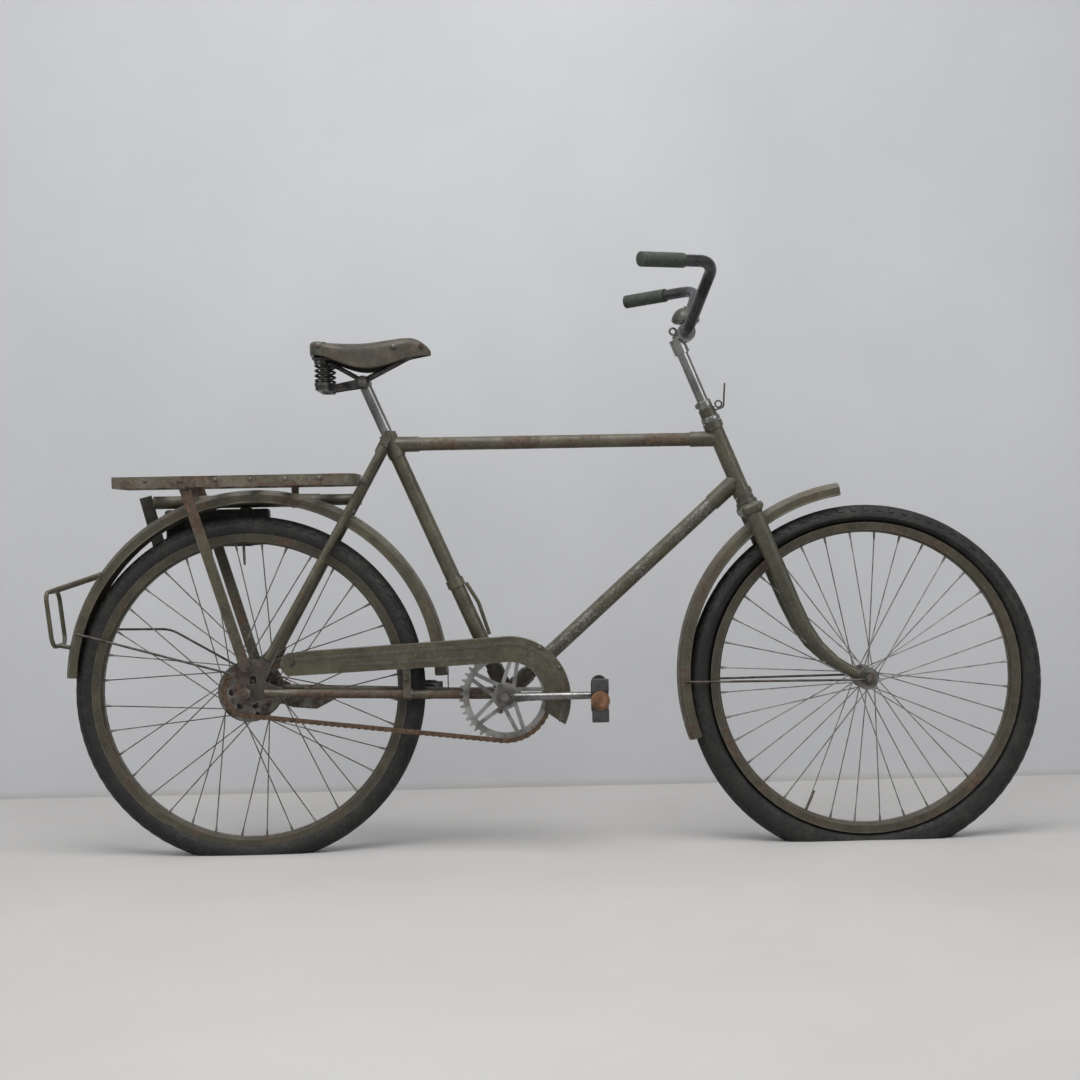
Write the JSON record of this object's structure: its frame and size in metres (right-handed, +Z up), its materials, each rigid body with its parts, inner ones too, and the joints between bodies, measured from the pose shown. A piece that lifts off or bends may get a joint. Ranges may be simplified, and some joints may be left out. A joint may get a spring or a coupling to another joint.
{
  "type": "military bicycle",
  "caption": "Old military bicycle with a steel roadster frame, rear carrier, open chain guard, sprung leather saddle and flat tyres.",
  "frame": {"origin": "top of the saddle, where the rider sits, on the bicycle's middle plane", "axes": "+X forward, +Y to the bicycle's left, +Z up"},
  "size_m": [1.8921, 0.6228, 1.0956],
  "materials": {
    "olive_paint": "worn satin with rust",
    "bare_steel": "worn and dull",
    "rusty_steel": "rusty",
    "tyre": "cracked matt",
    "rubber": "matt",
    "leather": "worn satin",
    "dark_leather": "worn",
    "webbing": "woven"
  },
  "bodies": {
    "frame": {"head_tube": "olive_paint", "top_tube": "olive_paint", "down_tube": "olive_paint", "seat_tube": "olive_paint", "seat_lug": "olive_paint", "bottom_bracket_shell": "olive_paint", "chain_stay_right": "olive_paint", "chain_stay_left": "olive_paint", "seat_stay_right": "olive_paint", "seat_stay_left": "olive_paint", "seat_stay_bridge": "olive_paint", "chain_stay_bridge": "olive_paint", "dropouts": "olive_paint", "rear_axle": "bare_steel", "seat_post": "bare_steel", "saddle_frame": "rusty_steel", "saddle_springs": "rusty_steel", "saddle_top": "leather", "rear_fender": "olive_paint", "rear_fender_stays": "rusty_steel", "rear_handle": "olive_paint", "rack_rail_right": "olive_paint", "rack_rail_left": "olive_paint", "rack_slats": "olive_paint", "rack_legs": "olive_paint", "chain": "rusty_steel", "chain_guard": "olive_paint", "brake_arm": "bare_steel", "pump": "olive_paint", "tool_bag": "dark_leather", "bag_strap": "webbing", "seat_clip": "olive_paint"},
    "fork": {"fork_crown": "olive_paint", "fork_blade_right": "olive_paint", "fork_blade_left": "olive_paint", "front_axle": "bare_steel", "front_fender": "olive_paint", "front_fender_stays": "rusty_steel", "stem": "bare_steel", "handlebar": "bare_steel", "grip_right": "rubber", "grip_left": "rubber", "bell": "olive_paint", "lamp_wire": "rusty_steel"},
    "front_wheel": {"front_tyre": "tyre", "front_rim": "olive_paint", "front_hub": "bare_steel"},
    "rear_wheel": {"rear_tyre": "tyre", "rear_rim": "olive_paint", "rear_hub": "bare_steel"},
    "crank": {"chainring": "bare_steel", "crank_right": "bare_steel", "crank_left": "bare_steel", "crank_axle": "bare_steel"},
    "pedal_right": {"pedal_right_cage": "rusty_steel", "pedal_right_blocks": "rubber"},
    "pedal_left": {"pedal_left_cage": "rusty_steel", "pedal_left_blocks": "rubber"}
  },
  "joints": [
    {"name": "steering", "type": "hinge", "parent": "frame", "child": "fork", "pos_m": [0.71296, 0, -0.231], "axis": [-0.3795, 0, 0.9252], "range_deg": [-70, 70]},
    {"name": "front_wheel_spin", "type": "hinge", "parent": "fork", "child": "front_wheel", "pos_m": [0.969, 0, -0.655], "axis": [0, 1, 0], "continuous": true},
    {"name": "rear_wheel_spin", "type": "hinge", "parent": "frame", "child": "rear_wheel", "pos_m": [-0.205, 0, -0.655], "axis": [0, 1, 0], "continuous": true},
    {"name": "crank_spin", "type": "hinge", "parent": "frame", "child": "crank", "pos_m": [0.28, 0, -0.6725], "axis": [0, 1, 0], "continuous": true},
    {"name": "pedal_right_spin", "type": "hinge", "parent": "crank", "child": "pedal_right", "pos_m": [0.455, 0, -0.6725], "axis": [0, 1, 0], "continuous": true},
    {"name": "pedal_left_spin", "type": "hinge", "parent": "crank", "child": "pedal_left", "pos_m": [0.105, 0, -0.6725], "axis": [0, 1, 0], "continuous": true}
  ]
}
